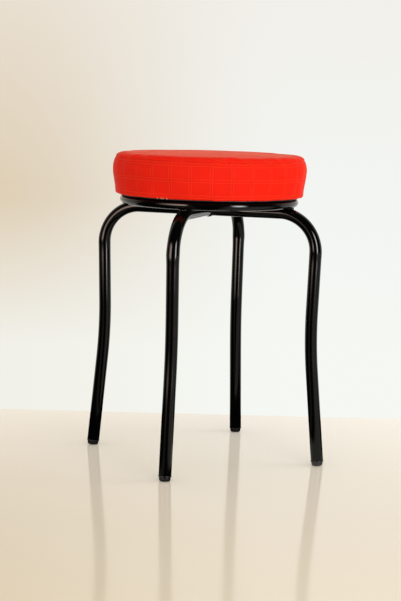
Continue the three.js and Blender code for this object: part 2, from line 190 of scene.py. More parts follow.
weave = {
    "threadSpacing": 1.1 * mm,     # real threads are about 0.8 mm apart; drawn coarser to show
    "checkAcross": fullTurn * widestRadius / cordPairsRound,  # between pairs of cords
    "checkUp": 24.5 * mm,          # and up the side
    "cordApart": 2.0 * mm,         # each cord of a pair stands this far off the pair's middle
    "cordHalf": 1.5 * mm,          # half a cord's width
    "furrowHalf": 0.8 * mm,        # half the width of the painted shade in the groove beside it
    "cordRise": 0.2 * mm,
    "wander": 0.5 * mm,            # how far a cord strays from its line
    "threadRise": 0.08 * mm,
    "base": "#f01b05",
    # painted shade: the colour of the grooves beside the cords
    "furrowShadeColour": "#dc1302",
    "warp": "#f5250b",
    # painted highlight: the lighter colour of the raised cords
    "cord": "#fc3618",
}


def makeRedCloth(name, centreAcross, centreUp):
    # Plain-woven cotton with a self check of raised cord pairs, drawn tight: satin, bright red, with a
    # pale bloom of loose fibre where it is seen edge on. Its colour holds painted shade in the grooves
    # beside the cords and a painted highlight on the cords. Its UV map is in metres.
    material, add, shader, place = startMaterial(name, {
        "Base Color": weave["base"], "Roughness": 0.75, "IOR": 1.45, "Specular IOR Level": 0.08,
        "Sheen Weight": 0.33, "Sheen Roughness": 0.2, "Sheen Tint": "#ffd2b2"})
    onCloth = add("UVMap", uv_map="clothMetres")
    bends = add("TexNoise", {"Vector": place, "Scale": 1 / (30 * mm), "Detail": 2})
    stray = add("MapRange", [bends, 0.3, 0.7, -weave["wander"], weave["wander"]])

    def weaveAlong(axis, centre, spacing):
        # One direction's thread wave, from -1 to 1, and its raised cords and the painted shade in the
        # grooves beside them, from 0 to 1 by the distance from the nearer cord of the nearest pair.
        position = add("SeparateXYZ", [onCloth], axis)
        turn = add("Math", [position, math.pi / weave["threadSpacing"]], operation="MULTIPLY")
        strayed = add("Math", [position, stray], operation="ADD")
        off = add("Math", [strayed, centre], operation="SUBTRACT")
        fromPair = add("Math", [off, spacing / 2], operation="PINGPONG")
        off = add("Math", [fromPair, weave["cordApart"]], operation="SUBTRACT")
        fromCord = add("Math", [off], operation="ABSOLUTE")
        off = add("Math", [fromCord, weave["cordHalf"] * 1.1], operation="SUBTRACT")
        fromFurrow = add("Math", [off], operation="ABSOLUTE")
        return (add("Math", [turn], operation="SINE"),
                add("MapRange", [fromCord, 0.0, weave["cordHalf"], 1.0, 0.0], **smooth),
                add("MapRange", [fromFurrow, 0.0, weave["furrowHalf"], 1.0, 0.0], **smooth))

    acrossWave, acrossCords, acrossFurrowShade = weaveAlong("X", centreAcross, weave["checkAcross"])
    upWave, upCords, upFurrowShade = weaveAlong("Y", centreUp, weave["checkUp"])
    crossings = add("Math", [acrossWave, upWave], operation="MULTIPLY")
    threads = add("MapRange", [crossings, -1.0, 1.0, 0.0, 1.0])
    cords = add("Math", [acrossCords, upCords], operation="MAXIMUM")
    # the painted shade in the grooves fades in and out with a noise
    furrowShadeNoise = add("TexNoise", {"Vector": place, "Scale": 1 / (25 * mm), "Detail": 3, "Roughness": 0.6})
    furrowShadeFade = add("MapRange", [furrowShadeNoise, 0.35, 0.65, 0.1, 0.55])
    furrowShadeMask = add("Math", [acrossFurrowShade, upFurrowShade], operation="MAXIMUM")
    furrowShadeMask = add("Math", [furrowShadeMask, furrowShadeFade], operation="MULTIPLY")
    slub = add("TexNoise", {"Vector": place, "Scale": 1 / (2.2 * mm), "Detail": 4, "Roughness": 0.65})
    patch = add("TexNoise", {"Vector": place, "Scale": 1 / (70 * mm), "Detail": 2})
    halfThreads = add("Math", [threads, 0.5], operation="MULTIPLY")
    cordHighlightShare = add("Math", [cords, 0.5], operation="MULTIPLY")
    halfSlub = add("Math", [slub, 0.5], operation="MULTIPLY")
    colour = add("Mix", {0: halfThreads, 6: weave["base"], 7: weave["warp"]}, **mixedColour)
    # painted highlight lightens the raised cords
    colour = add("Mix", {0: cordHighlightShare, 6: colour, 7: weave["cord"]}, **mixedColour)
    # painted shade darkens the grooves beside the cords
    colour = add("Mix", {0: furrowShadeMask, 6: colour, 7: weave["furrowShadeColour"]}, **mixedColour)
    unevenness = add("Math", [slub, patch], operation="ADD")
    tone = add("MapRange", [unevenness, 0.7, 1.3, 0.95, 1.04])
    relief = add("Math", [threads, halfSlub], operation="ADD")
    fine = add("Bump", {"Height": relief, "Distance": weave["threadRise"]})
    setInputs(shader, {
        "Base Color": add("HueSaturation", {"Value": tone, "Color": colour}),
        "Roughness": add("MapRange", [slub, 0.3, 0.7, 0.68, 0.82]),
        "Normal": add("Bump", {"Height": cords, "Distance": weave["cordRise"],
                               "Normal": fine}),
    })
    return material


def makeBlackHardboard():
    # Hardboard painted black on its smooth face: thin satin paint, soaked in unevenly, with
    # the pressed fibres, some 2 mm long, and a few specks of dust showing through.
    material, add, shader, place = startMaterial("paintedHardboard", {
        "Base Color": "#0d0c0c", "IOR": 1.5, "Specular IOR Level": 0.35})
    fibres = add("TexNoise", {"Vector": place, "Scale": 1 / (2 * mm), "Detail": 6, "Roughness": 0.75})
    soaked = add("TexNoise", {"Vector": place, "Scale": 1 / (40 * mm), "Detail": 4, "Roughness": 0.6})
    motes = add("TexNoise", {"Vector": place, "Scale": 1 / (1.1 * mm), "Detail": 2})
    specks = add("MapRange", [motes, 0.68, 0.74, 0.0, 0.6])
    paint = add("Mix", {0: soaked, 6: "#080808", 7: "#151312"}, **mixedColour)
    setInputs(shader, {
        "Base Color": add("Mix", {0: specks, 6: paint, 7: "#2b2824"}, **mixedColour),
        "Roughness": add("MapRange", [fibres, 0.3, 0.7, 0.45, 0.7]),
        "Normal": add("Bump", {"Height": fibres, "Distance": 0.12 * mm}),
    })
    return material


def makeCottonThread():
    # Spun cotton thread: cream and matt, with its twist about 0.4 mm long.
    material, add, shader, place = startMaterial("creamCottonThread", {
        "Base Color": "#efe3c4", "Roughness": 0.8, "IOR": 1.45, "Sheen Weight": 0.2})
    twist = add("TexNoise", {"Vector": place, "Scale": 1 / (0.4 * mm), "Detail": 3})
    setInputs(shader, {"Normal": add("Bump", {"Height": twist, "Distance": 0.05 * mm})})
    return material


sideCentreAcross = -71.9 * degree * widestRadius   # a pair of cords, along the side's width
sideCentreUp = 5.2 * mm                            # and another, above the underside

blackEnamel = makeBlackEnamel()
plugPlastic = makePlugPlastic()
zincPlate = makeZincPlate()
birchPlywood = makeBirchPlywood()
seatFoam = makeSeatFoam()
sideCloth = makeRedCloth("redCheckedCottonSide", sideCentreAcross, sideCentreUp)
topCloth = makeRedCloth("redCheckedCottonTop", 0.0, 0.0)
blackHardboard = makeBlackHardboard()
cottonThread = makeCottonThread()

print("materials made")


# Mesh helpers

def addObject(name, data):
    # an object with this mesh, lamp or camera, linked to the scene
    added = bpy.data.objects.new(name, data)
    bpy.context.scene.collection.objects.link(added)
    return added


def cornersOf(grid):
    # the four corners of each cell of a grid, in order round the cell
    return np.stack([grid[:-1, :-1], grid[:-1, 1:], grid[1:, 1:], grid[1:, :-1]], 2)


def gridPiece(name, points, closeRows=False, closeColumns=False, uv=None):
    # a surface from a rows x columns x 3 array of points; a row or column that closes is
    # joined to the first, and points that coincide, as at a pole, become one
    rows, columns = points.shape[:2]
    number = np.arange(rows * columns).reshape(rows, columns)
    if closeRows:
        number = np.vstack([number, number[:1]])
    if closeColumns:
        number = np.hstack([number, number[:, :1]])
    quads = cornersOf(number).reshape(-1, 4)
    mesh = bpy.data.meshes.new(name)
    mesh.vertices.add(rows * columns)
    mesh.vertices.foreach_set("co", points.astype(np.float32).ravel())
    mesh.loops.add(quads.size)
    mesh.loops.foreach_set("vertex_index", quads.ravel().astype(np.int32))
    mesh.polygons.add(len(quads))
    mesh.polygons.foreach_set("loop_start", (np.arange(len(quads)) * 4).astype(np.int32))
    mesh.update(calc_edges=True)
    if uv is not None:
        layer = mesh.uv_layers.new(name="clothMetres")
        layer.data.foreach_set("uv", cornersOf(uv).astype(np.float32).ravel())
    tidyMesh(mesh)
    return addObject(name, mesh)


def tidyMesh(mesh):
    # doubles merged, faces turned outwards, and smooth shading between sharp edges
    editable = bmesh.new()
    editable.from_mesh(mesh)
    bmesh.ops.remove_doubles(editable, verts=editable.verts, dist=0.0005 * mm)
    bmesh.ops.dissolve_degenerate(editable, edges=editable.edges, dist=0.0001 * mm)
    bmesh.ops.recalc_face_normals(editable, faces=editable.faces)
    editable.to_mesh(mesh)
    editable.free()
    mesh.shade_smooth()
    mesh.set_sharp_from_angle(angle=40 * degree)


def applyModifiers(piece):
    # the piece's mesh as its modifiers leave it
    bpy.context.view_layer.update()
    finished = bpy.data.meshes.new_from_object(
        piece.evaluated_get(bpy.context.evaluated_depsgraph_get()))
    finished.name = piece.name
    piece.modifiers.clear()
    piece.data = finished


def cutAway(piece, tools):
    # the piece less its tools, which are then removed
    for tool in tools:
        cutter = piece.modifiers.new("cut", "BOOLEAN")
        cutter.operation = "DIFFERENCE"
        cutter.solver = "EXACT"
        cutter.object = tool
    applyModifiers(piece)
    for tool in tools:
        bpy.data.objects.remove(tool)
    tidyMesh(piece.data)


def turnedAbout(points, angle):
    # points turned about the Z axis
    cosine, sine = math.cos(angle), math.sin(angle)
    return points @ np.array([[cosine, sine, 0], [-sine, cosine, 0], [0, 0, 1]])


def leanedOver(points, angle):
    # points turned about the Y axis, their tops towards -X
    cosine, sine = math.cos(angle), math.sin(angle)
    return points @ np.array([[cosine, 0, sine], [0, 1, 0], [-sine, 0, cosine]])


def anglesRound(count):
    # so many even steps round a circle, without the last, which is the first again
    return np.linspace(0, fullTurn, count, endpoint=False)


def wavesRound(angles, waves):
    # a sum of sine waves, each given by its height, how many go round a circle and its phase
    return sum(height * np.sin(count * angles + phase) for height, count, phase in waves)


def ballAngles(columns, rows):
    # the angles round a ball and from its lower pole to its upper, as two grids
    return np.meshgrid(anglesRound(columns), np.linspace(0, math.pi, rows))


def polar(radii, angles, heights):
    # points at a distance from the Z axis, an angle round it and a height
    return np.stack(np.broadcast_arrays(radii * np.cos(angles), radii * np.sin(angles), heights), -1)


def lathe(profile, columns):
    # a profile of (radius, height) pairs carried round the Z axis
    return polar(profile[:, :1], anglesRound(columns), profile[:, 1:])


def arc(centre, radius, start, end, count):
    # points on a circle, or on an ellipse if radius is a pair, from one angle to another
    angles = np.linspace(start, end, count)
    return np.stack([np.cos(angles), np.sin(angles)], -1) * radius + centre


def sweepLoop(centres, outwards, radii, sides):
    # a round section of changing radius carried round a closed path; outwards is square
    # to the path, and the section's second axis is the cross product of the two
    alongs = np.roll(centres, -1, 0) - np.roll(centres, 1, 0)
    alongs /= np.linalg.norm(alongs, axis=1, keepdims=True)
    outwards = outwards - (outwards * alongs).sum(1, keepdims=True) * alongs
    outwards /= np.linalg.norm(outwards, axis=1, keepdims=True)
    asides = np.cross(alongs, outwards)
    angles = anglesRound(sides)[None, :, None]
    section = np.cos(angles) * outwards[:, None] + np.sin(angles) * asides[:, None]
    return centres[:, None] + radii[:, None, None] * section


def dress(piece, material, slotName, *nodes):
    # the piece's material and body, and the CAD nodes that it stands for; slotName is not used
    piece.data.materials.clear()
    piece.data.materials.append(material)
    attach(piece, "root")
    if nodes:
        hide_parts(*nodes)


def placeAtLegs(skin, pieceName, nodeName, material, slotName, sides=tuple(legTurns), closeRows=False):
    # a skin made for the leg at +X, as a piece of its own at each leg, or at some of them
    for side in sides:
        turned = turnedAbout(skin, legTurns[side] * quarterTurn)
        piece = gridPiece(pieceName + side.capitalize(), turned, closeRows, True)
        dress(piece, material, slotName, nodeName + side)


# Leg tubes

legTube = {
    "radius": 10 * mm,
    "wall": 1.5 * mm,
    "railReach": 118.9 * mm,       # centre line to the start of the top bend
    "topBendRadius": 61.9 * mm,
    "leanIn": 1.61 * degree,
    "upperLength": 94.5 * mm,
    "kneeBendRadius": 798 * mm,
    "splay": 5.42 * degree,
    "bendFlattening": 0.035,       # share by which a bent tube narrows in the plane of its bend
    "bendSpread": 0.03,            # share by which it widens across the bend
    "endBulge": (0.02, 0.05),      # share by which it swells where the bend ends, in and across
    "endBulgeLength": 11 * mm,
    "endBulgeBack": 5 * mm,        # and how far its middle lies before the bend's end
    "sides": 56,
    "stations": (10, 34, 22, 16, 14),  # along each run and bend, from the middle to the foot
    "fineLength": 0.8,             # metres of route that are worked out finely, past the foot
    "fineSteps": 16000,
    "contactGap": 0.3 * mm,
}
tubeLow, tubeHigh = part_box("leg_tube_left_right")
railHeight = tubeHigh.z - legTube["radius"]
tubeEndHeight = tubeLow.z + legTube["radius"] * math.sin(legTube["splay"])


def legRoute():
    # Heading is a broken line over arc length: level along a run and sloping along a
    # bend. Place is the running integral of (cosine, sine) of the heading. Returns the
    # stations' x, z, heading, share of full bend in the top bend, and the bell curve of
    # the swelling where that bend ends.
    bend = quarterTurn + legTube["leanIn"]
    knee = legTube["leanIn"] + legTube["splay"]
    pastFoot = 1
    lengths = [0, legTube["railReach"], legTube["topBendRadius"] * bend, legTube["upperLength"],
               legTube["kneeBendRadius"] * knee, pastFoot]
    breaks = np.cumsum(lengths)
    headings = [0, 0, -bend, -bend, knee - bend, knee - bend]
    fine = np.linspace(0, legTube["fineLength"], legTube["fineSteps"] + 1)
    middle = (fine[1:] + fine[:-1]) / 2
    steps = np.diff(fine) * np.stack([np.cos(np.interp(middle, breaks, headings)),
                                      np.sin(np.interp(middle, breaks, headings))])
    x, z = np.concatenate([[[0], [railHeight]], steps], 1).cumsum(1)
    falling = fine > breaks[2]
    end = np.interp(-tubeEndHeight, -z[falling], fine[falling])
    stops = [*breaks[:5], end]
    runs = zip(stops, stops[1:], legTube["stations"])
    stations = np.concatenate([*(np.linspace(*run, endpoint=False) for run in runs), [end]])
    inBend = np.clip((stations - breaks[1]) / (breaks[2] - breaks[1]), 0, 1)
    fromBulge = stations - breaks[2] + legTube["endBulgeBack"]
    swelling = np.exp(-(fromBulge / legTube["endBulgeLength"]) ** 2)
    return (np.interp(stations, fine, x), np.interp(stations, fine, z),
            np.interp(stations, breaks, headings), np.sin(inBend * math.pi) ** 0.5, swelling)


def tubeSkin(x, z, headings, bent, swelling, radius):
    # a round section carried along the route, square to it; in a bend it is a little
    # narrower in the plane of the bend and wider across it, and it swells at the bend's end
    angles = anglesRound(legTube["sides"])
    bent, swelling = bent[:, None], swelling[:, None]
    bulgeIn, bulgeAcross = legTube["endBulge"]
    upwards = radius * (1 - legTube["bendFlattening"] * bent + bulgeIn * swelling) * np.cos(angles)
    sideways = radius * (1 + legTube["bendSpread"] * bent + bulgeAcross * swelling) * np.sin(angles)
    return np.stack([x[:, None] - np.sin(headings)[:, None] * upwards, sideways,
                     z[:, None] + np.cos(headings)[:, None] * upwards], -1)


def coped(skin, radius):
    # the rail's first stations drawn to the line where it meets the crossing tube: at a
    # height up the section, that tube's side stands sqrt(R^2 - height^2) out
    angles = anglesRound(legTube["sides"])
    reach = legTube["radius"] + legTube["contactGap"]
    side = np.sqrt(reach ** 2 - (radius * np.cos(angles)) ** 2)
    share = skin[:, :, 0] / legTube["railReach"]
    drawn = side + share * (legTube["railReach"] - side)
    skin[:, :, 0] = np.where(share < 1, drawn, skin[:, :, 0])
    return skin


route = legRoute()
footEnd = (route[0][-1], 0, route[1][-1])
boreRadius = legTube["radius"] - legTube["wall"]

# each wall runs out along the outer skin, over the end, and back along the bore
mirrored = [np.concatenate([sign * values[:0:-1], values])
            for sign, values in zip((-1, 1, -1, 1, 1), route)]
wall = np.concatenate([tubeSkin(*mirrored, legTube["radius"]),
                       tubeSkin(*mirrored, boreRadius)[::-1]])
leftRightTube = gridPiece("legTubeLeftRight", wall, True, True)
dress(leftRightTube, blackEnamel, "frame_enamel", "leg_tube_left_right")
halfWall = np.concatenate([coped(tubeSkin(*route, legTube["radius"]), legTube["radius"]),
                           coped(tubeSkin(*route, boreRadius), boreRadius)[::-1]])
placeAtLegs(halfWall, "legTube", "leg_tube_", blackEnamel, "frame_enamel", ("front", "back"), True)

print("leg tubes made")


# Welds where the front and back rails meet the left-right tube

centreWeld = {
    "radius": 2.0 * mm,
    "rippleSpacing": 1.5 * mm,
    "rippleShare": 0.07,
    "uneven": ((0.05, 3, 1), (0.04, 7, 0)),  # waves round it, as shares of its radius
    "steps": 384,
    "sides": 14,
}


def centreWeldBead():
    # a bead carried round the line where two tubes of one size cross, its radius rising
    # and falling with each ripple of the weld
    angles = anglesRound(centreWeld["steps"])
    radius, share = legTube["radius"], centreWeld["rippleShare"]
    side = np.sqrt((radius + legTube["contactGap"]) ** 2 - (radius * np.cos(angles)) ** 2)
    centres = np.stack([side, radius * np.sin(angles), railHeight + radius * np.cos(angles)], -1)
    outwards = np.stack([0 * angles, np.sin(angles), np.cos(angles)], -1)
    run = np.linalg.norm(np.roll(centres, -1, 0) - centres, axis=1).cumsum()
    ripples = round(run[-1] / centreWeld["rippleSpacing"])
    wave = np.cos(run / run[-1] * ripples * fullTurn)
    uneven = wavesRound(angles, centreWeld["uneven"])
    radii = centreWeld["radius"] * (1 - share + share * wave + uneven)
    return sweepLoop(centres, outwards, radii, centreWeld["sides"])


placeAtLegs(centreWeldBead(), "centreWeld", "centre_weld_", blackEnamel, "frame_enamel",
            ("front", "back"), True)


# Seat ring

seatRing = {
    "tubeRadius": 7 * mm,
    "wall": 1.5 * mm,
    "drainRadius": 2 * mm,
    "drainAngle": 22.5 * degree,
    "segments": 240,
    "sides": 40,
    "boreSides": 16,
}
ringLow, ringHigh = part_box("seat_ring")
ringRadius = ringHigh.x - seatRing["tubeRadius"]
ringHeight = (ringLow.z + ringHigh.z) / 2


def torus(radius, tubeRadius, height, segments, sides):
    # a circle of tubeRadius carried round a circle of radius
    section = arc((radius, height), tubeRadius, 0, fullTurn, sides + 1)[:-1]
    return lathe(section, segments)


ring = gridPiece("seatRing", torus(ringRadius, seatRing["tubeRadius"], ringHeight,
                                   seatRing["segments"], seatRing["sides"]), True, True)
bore = gridPiece("ringBore", torus(ringRadius, seatRing["tubeRadius"] - seatRing["wall"], ringHeight,
                                   seatRing["segments"], seatRing["boreSides"]), True, True)
drainProfile = np.array([[0, -10], [1, -10], [1, 0], [0, 0]]) * (seatRing["drainRadius"], mm)
drain = lathe(drainProfile, columns=32) + (ringRadius, 0, ringHeight)
drill = gridPiece("ringDrill", turnedAbout(drain, seatRing["drainAngle"]), False, True)
cutAway(ring, [bore, drill])
dress(ring, blackEnamel, "frame_enamel", "seat_ring")


# Welds where the ring lies on the legs' shoulders

ringWeld = {"halfLength": 6.11 * mm, "halfRise": 2.944 * mm, "ripples": 9, "rippleShare": 0.045}


def ringWeldBead():
    # a flattened ball whose radius ripples across its length, hung under the ring's middle
    # and leaned over until it lies between the ring and the middle of the leg's top bend
    around, up = ballAngles(72, 28)
    direction = polar(np.sin(up), around, np.cos(up))
    ripple = 1 + ringWeld["rippleShare"] * np.cos(direction[..., 1:2] * ringWeld["ripples"] * math.pi)
    shape = direction * ripple * (ringWeld["halfLength"], ringWeld["halfLength"], ringWeld["halfRise"])
    past = ringRadius - legTube["railReach"]
    slope = math.atan2(past, ringHeight - (railHeight - legTube["topBendRadius"]))
    return leanedOver(shape - (0, 0, seatRing["tubeRadius"]), -slope) + (ringRadius, 0, ringHeight)


placeAtLegs(ringWeldBead(), "ringWeld", "ring_weld_", blackEnamel, "frame_enamel")

print("ring and welds made")


# Foot plugs

footPlug = {
    "rimRadius": 10.4 * mm,
    "rimThickness": 2 * mm,
    "footRadius": 9.2 * mm,
    "headLength": 8.5 * mm,
    "edgeRadius": 3.4 * mm,
    "stemLength": 20 * mm,
    "fins": 3,
    "finThickness": 1.6 * mm,
    "finDepth": 1.8 * mm,
    "smallRound": 0.45 * mm,
    "partingRidge": 0.12 * mm,     # a moulding line on two sides stands this proud
    "ridgeAngle": 0.05,            # its half width in radians
    "columns": 96,
}


def footPlugProfile():
    # from the middle of the underside, out round the foot's edge, over the rim and up
    # the finned stem, as (radius, height) with the tube's end at height 0
    rim, foot = footPlug["rimRadius"], footPlug["footRadius"]
    edge, small = footPlug["edgeRadius"], footPlug["smallRound"]
    top = -legTube["contactGap"]
    bottom = top - footPlug["headLength"]
    rimBottom = top - footPlug["rimThickness"]
    finRadius = boreRadius - legTube["contactGap"]
    core = finRadius - footPlug["finDepth"]
    flat = np.stack([np.linspace(0, foot - edge, 8, endpoint=False), np.full(8, bottom)], -1)
    parts = [
        flat,
        arc((foot - edge, bottom + edge), edge, -quarterTurn, 0, 14),
        [[foot, rimBottom - small / 2]],
        arc((rim - small, rimBottom + small), small, -quarterTurn, 0, 5),
        arc((rim - small, top - small), small, 0, quarterTurn, 5),
    ]
    pitch = footPlug["stemLength"] / footPlug["fins"]
    for fin in range(footPlug["fins"]):
        finTop = top + (fin + 1) * pitch
        finBottom = finTop - footPlug["finThickness"]
        parts.append([[core, top + fin * pitch], [core, finBottom],
                      [finRadius - small / 2, finBottom], [finRadius, finBottom + small],
                      [finRadius, finTop - small], [finRadius - small, finTop]])
    parts.append([[0, top + footPlug["stemLength"]]])
    return np.concatenate([np.asarray(part, float) for part in parts])


def footPlugSkin():
    # the profile turned about the tube's axis, with a moulding ridge on two sides, then
    # tilted with the leg and worn flat at the floor
    skin = lathe(footPlugProfile(), footPlug["columns"])
    fromRidge = np.sin(anglesRound(footPlug["columns"])) / footPlug["ridgeAngle"]
    ridge = np.exp(-fromRidge ** 2) * footPlug["partingRidge"]
    spread = np.linalg.norm(skin[..., :2], axis=-1)
    outside = (skin[..., 2] < -legTube["contactGap"]) & (spread > footPlug["footRadius"] / 2)
    skin[..., :2] *= 1 + np.where(outside, ridge / np.maximum(spread, mm), 0)[..., None]
    placed = leanedOver(skin, legTube["splay"]) + footEnd
    placed[..., 2] = np.maximum(placed[..., 2], 0)
    return placed


placeAtLegs(footPlugSkin(), "footPlug", "foot_plug_", plugPlastic, "plug_plastic")

print("foot plugs made")


# Lugs, with their welds, washers and screws

seatLug = {
    "halfWidth": 11 * mm,
    "screwInset": 14.4 * mm,
    "holeRadius": 2.8 * mm,
    "edgeRound": 0.35 * mm,
    "shortOfRing": 2 * mm,         # it ends in the ring's tube, this far from its centre line
}
lugWeld = {
    "halfLength": 8.2 * mm,
    "radius": 3.2 * mm,
    "meanShare": 0.93,             # of that radius, and how far the ripples stray from it
    "rippleShare": 0.06,
    "ripples": 12,
    "taper": 0.6,                  # power of the sine that draws it in at its ends
    "below": 0.5 * mm,             # its middle lies this far under the lug
    "flatness": 0.8,               # its height over its depth
}
washer = {"innerRadius": 2.8 * mm, "outerRadius": 6 * mm, "edgeRound": 0.25 * mm}
lugScrew = {
    "shankRadius": 2.2 * mm,
    "rootRadius": 1.55 * mm,
    "threadPitch": 1.5 * mm,
    "headRadius": 4.3 * mm,
    "headHeight": 2.6 * mm,
    "headBrim": 0.45 * mm,         # the upright edge under the dome
    "tipLength": 3.5 * mm,
    "columns": 36,
    "recessHalfSpan": 2.5 * mm,
    "recessHalfWidth": 0.65 * mm,
    "recessDepth": 1.5 * mm,
}
lugLow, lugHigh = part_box("seat_lug_1")
washerLow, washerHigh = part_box("lug_washer_1")
screwLow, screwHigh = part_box("lug_screw_1")
screwCircle = ringRadius - seatRing["tubeRadius"] - seatLug["screwInset"]


def lugPlate():
    # Seen from the hole's centre, the outline is as far out as the half width over the
    # sine, up to the ring, and a half circle inwards. Rows run from the hole's lower
    # edge out, over the rounded outer edge, and back to the hole's upper edge.
    angles = anglesRound(144)
    half, easing = seatLug["halfWidth"], seatLug["edgeRound"]
    corner = 0.3 * easing
    reach = ringRadius - seatLug["shortOfRing"] - screwCircle
    sideways = half / np.maximum(np.abs(np.sin(angles)), 1e-6)
    forwards = np.where(np.cos(angles) > 0, reach / np.maximum(np.cos(angles), 1e-6), half)
    edge = np.where(np.cos(angles) > 0, np.minimum(sideways, forwards), half)
    low, high = lugLow.z, lugHigh.z
    rows = [(seatLug["holeRadius"], low), (edge - easing, low), (edge - corner, low + corner),
            (edge, low + easing), (edge, high - easing), (edge - corner, high - corner),
            (edge - easing, high), (seatLug["holeRadius"], high)]
    return np.stack([polar(far, angles, height) for far, height in rows]) + (screwCircle, 0, 0)


def lugWeldBead():
    # a long ball along the corner under the lug, rippled across its length
    around, up = ballAngles(32, 72)
    run = -np.cos(up)
    wave = np.cos(run * lugWeld["ripples"] * math.pi)
    ripple = lugWeld["meanShare"] + lugWeld["rippleShare"] * wave
    radius = lugWeld["radius"] * np.sin(up) ** lugWeld["taper"] * ripple
    rise = lugLow.z - ringHeight
    corner = ringRadius - math.sqrt(seatRing["tubeRadius"] ** 2 - rise ** 2)
    height = lugLow.z - lugWeld["below"] + lugWeld["flatness"] * radius * np.sin(around)
    return np.stack([corner + radius * np.cos(around), run * lugWeld["halfLength"], height], -1)


def washerProfile():
    # a flat ring's section, its outer corners cut off square to the diagonal
    inner, outer, easing = washer["innerRadius"], washer["outerRadius"], washer["edgeRound"]
    low, high = washerLow.z, washerHigh.z
    return np.array([[inner, low], [outer - easing, low], [outer, low + easing],
                     [outer, high - easing], [outer - easing, high], [inner, high]])


def screwSkin():
    # the head's dome and flat, then a shank whose radius follows a sharp thread: the
    # distance from the nearest crest, which climbs one pitch a turn
    angles = anglesRound(lugScrew["columns"])
    head, tall = lugScrew["headRadius"], lugScrew["headHeight"]
    shank, brim = lugScrew["shankRadius"], lugScrew["headBrim"]
    seat = screwLow.z + tall
    dome = arc((0, seat - brim), (head, tall - brim), -quarterTurn, 0, 12)
    headRows = lathe(np.concatenate([dome, [[head, seat], [shank, seat]]]), lugScrew["columns"])
    heights = np.linspace(seat, screwHigh.z, 72)[:, None]
    turnShare = (heights - seat) / lugScrew["threadPitch"] - angles / fullTurn
    fromCrest = np.abs(turnShare - np.round(turnShare)) * 2
    tip = np.clip((screwHigh.z - heights) / lugScrew["tipLength"], 0, 1)
    radii = (shank + (lugScrew["rootRadius"] - shank) * fromCrest) * tip
    return np.concatenate([headRows, polar(radii, angles, heights)])


def recessTool(turn, name):
    # a bar across the head, as long as the recess, that reaches up into it
    span, half = lugScrew["recessHalfSpan"], lugScrew["recessHalfWidth"]
    deep = lugScrew["recessDepth"]
    loop = np.array([[-span, -half], [span, -half], [span, half], [-span, half]])
    rows = [np.column_stack([loop * share, np.full(4, height)]) for share, height in
            ((0, -mm), (1, -mm), (1, deep * 0.75), (0, deep))]
    tool = turnedAbout(np.stack(rows), turn) + (screwCircle, 0, screwLow.z)
    return gridPiece(name, tool, False, True)


def lugAngle(index):
    # the four lugs stand midway between the legs
    return 45 * degree + index * quarterTurn


def atLug(points, index):
    return turnedAbout(points, lugAngle(index))


screwPattern = gridPiece("screwPattern", screwSkin() + (screwCircle, 0, 0), False, True)
cutAway(screwPattern, [recessTool(0, "slot"), recessTool(quarterTurn, "crossSlot")])
washerSkin = lathe(washerProfile(), columns=64) + (screwCircle, 0, 0)

for index in range(4):
    number = index + 1
    plate = gridPiece(f"seatLug{number}", atLug(lugPlate(), index), True, True)
    dress(plate, blackEnamel, "frame_enamel", f"seat_lug_{number}")
    bead = gridPiece(f"lugWeld{number}", atLug(lugWeldBead(), index), False, True)
    dress(bead, blackEnamel, "frame_enamel", f"lug_weld_{number}")
    disc = gridPiece(f"lugWasher{number}", atLug(washerSkin, index), True, True)
    dress(disc, zincPlate, "zinc_plate", f"lug_washer_{number}")
    screw = addObject(f"lugScrew{number}", screwPattern.data.copy())
    screw.data.transform(Matrix.Rotation(lugAngle(index), 4, "Z"))
    dress(screw, zincPlate, "zinc_plate", f"lug_screw_{number}")
bpy.data.objects.remove(screwPattern)

print("lugs and screws made")


# Base panel, seat board and foam pad

basePanel = {"edgeRound": 0.4 * mm, "holeRadius": 2.8 * mm}
seatBoard = {"edgeRound": 3 * mm, "holeRadius": 2.5 * mm}
panelLow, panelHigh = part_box("base_panel")
boardLow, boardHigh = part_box("seat_board")


def drilledDisc(name, low, high, sizes, holeTop):
    # a disc between two corners of a box, its edge rounded, with four screw holes
    easing, radius = sizes["edgeRound"], high.x
    profile = np.concatenate([
        [[0, low.z]],
        arc((radius - easing, low.z + easing), easing, -quarterTurn, 0, 6),
        arc((radius - easing, high.z - easing), easing, 0, quarterTurn, 6),
        [[0, high.z]],
    ])
    disc = gridPiece(name, lathe(profile, columns=200), False, True)
    hole, foot = sizes["holeRadius"], low.z - mm
    drillProfile = np.array([[0, foot], [hole, foot], [hole, holeTop], [0, holeTop]])
    drill = lathe(drillProfile, columns=24) + (screwCircle, 0, 0)
    cutAway(disc, [gridPiece(f"drill{index}", atLug(drill, index), False, True)
                   for index in range(4)])
    return disc


# a black disc between the ring and the cushion, which makes the band between the cloth's lower edge and
# the ring dark
panel = drilledDisc("basePanel", panelLow, panelHigh, basePanel, panelHigh.z + mm)
dress(panel, blackHardboard, "hardboard", "base_panel")
board = drilledDisc("seatBoard", boardLow, boardHigh, seatBoard, screwHigh.z + mm)
dress(board, birchPlywood, "plywood", "seat_board")


# Cushion

cushion = {
    "bottomRadius": 153 * mm,
    "cornerRadius": 4 * mm,
    "sideHeights": np.array([4, 16.1, 44.6, 58.5]) * mm,
    "sideBulges": np.array([0, 1.4, 4.2, 0.2]) * mm,
    "shoulderReach": 14.5 * mm,
    "shoulderRise": 7.9 * mm,
    "crownRise": 3.2 * mm,
    "clothThickness": 1.2 * mm,
    "hemInnerRadius": 128 * mm,
}
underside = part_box("cover_side_panel")[0].z
seamHeight = underside + cushion["sideHeights"][-1]
seamRadius = cushion["bottomRadius"] + cushion["sideBulges"][-1]


def sideRadius(heights):
    # the cubic through the four measured bulges
    cubic = np.polyfit(cushion["sideHeights"], cushion["sideBulges"], 3)
    return cushion["bottomRadius"] + np.polyval(cubic, heights)


